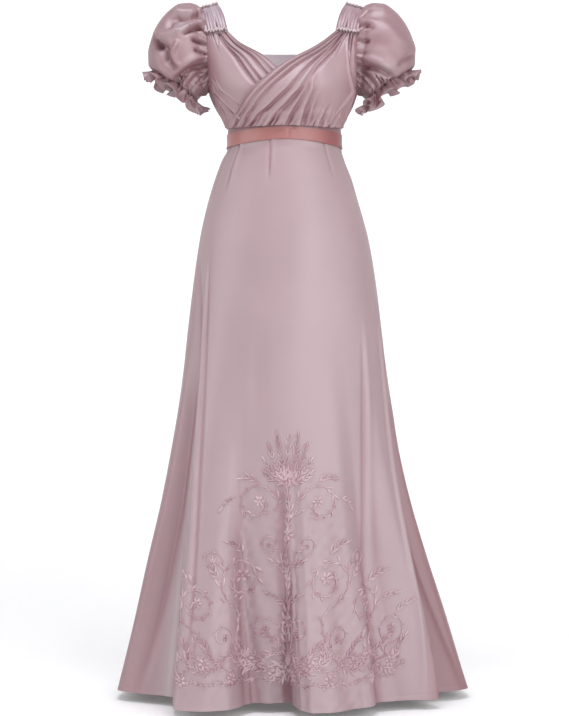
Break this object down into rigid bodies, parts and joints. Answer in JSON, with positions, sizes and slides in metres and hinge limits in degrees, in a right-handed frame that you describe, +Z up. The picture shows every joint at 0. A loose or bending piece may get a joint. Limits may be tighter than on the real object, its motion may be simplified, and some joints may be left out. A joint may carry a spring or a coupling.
{
  "type": "regency gown",
  "caption": "High-waisted satin evening gown: crossed gathered bodice, ruched straps, short puff sleeves, ribbon belt and long flared skirt, hollow as worn.",
  "frame": {"origin": "midway between the tops of the two shoulder straps, where the wearer's shoulders hold the gown up", "axes": "+Z up, -Y to the gown's front, +X to the wearer's left"},
  "size_m": [0.7106, 0.5351, 1.3906],
  "materials": {
    "satin": "smooth satin, soft sheen",
    "ribbon": "satin ribbon, fine crosswise rib",
    "pearls": "pearl"
  },
  "bodies": {
    "root": {"bodice_front_over": "satin", "bodice_front_under": "satin", "bodice_back": "satin", "waistband": "satin", "waist_ribbon": "ribbon", "skirt_front": "satin", "skirt_back": "satin", "strap_front_left": "satin", "strap_back_left": "satin", "sleeve_left": "satin", "sleeve_frill_left": "satin", "pearl_trim_front_left": "pearls", "pearl_trim_shoulder_left": "pearls", "strap_front_right": "satin", "strap_back_right": "satin", "sleeve_right": "satin", "sleeve_frill_right": "satin", "pearl_trim_front_right": "pearls", "pearl_trim_shoulder_right": "pearls"}
  },
  "joints": []
}
